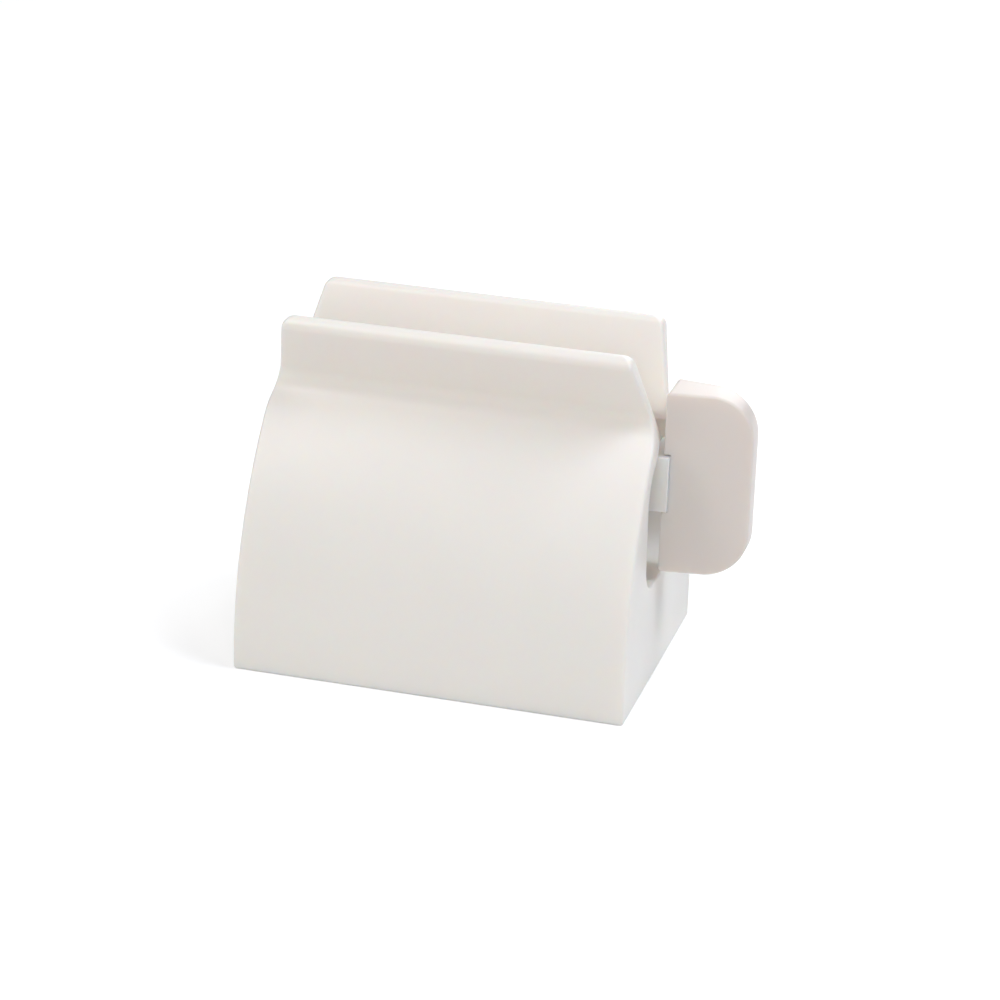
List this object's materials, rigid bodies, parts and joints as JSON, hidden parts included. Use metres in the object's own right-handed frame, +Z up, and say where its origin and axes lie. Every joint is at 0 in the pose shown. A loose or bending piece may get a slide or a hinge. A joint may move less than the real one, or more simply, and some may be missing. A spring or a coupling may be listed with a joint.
{
  "type": "toothpaste tube squeezer",
  "caption": "Free-standing tube squeezer: a moulded stand with a slot between flared lips, and a turning key with a split spindle and a wedge-shaped handle.",
  "frame": {"origin": "on the surface that the stand rests on, under the middle of the whole object, handle included", "axes": "+X along the spindle towards the handle, +Y towards the back, +Z up"},
  "size_m": [0.0754, 0.0444, 0.0543],
  "materials": {
    "housing_plastic": "satin cream-white moulding",
    "spindle_plastic": "satin cream-white moulding",
    "handle_plastic": "satin cream-white moulding, slightly warmer than the stand"
  },
  "bodies": {
    "stand": {"housing": "housing_plastic"},
    "key": {"split_spindle": "spindle_plastic", "handle": "handle_plastic"}
  },
  "joints": [
    {"name": "key_turn", "type": "hinge", "parent": "stand", "child": "key", "pos_m": [0.02439, 0, 0.03241], "axis": [1, 0, 0], "continuous": true}
  ]
}
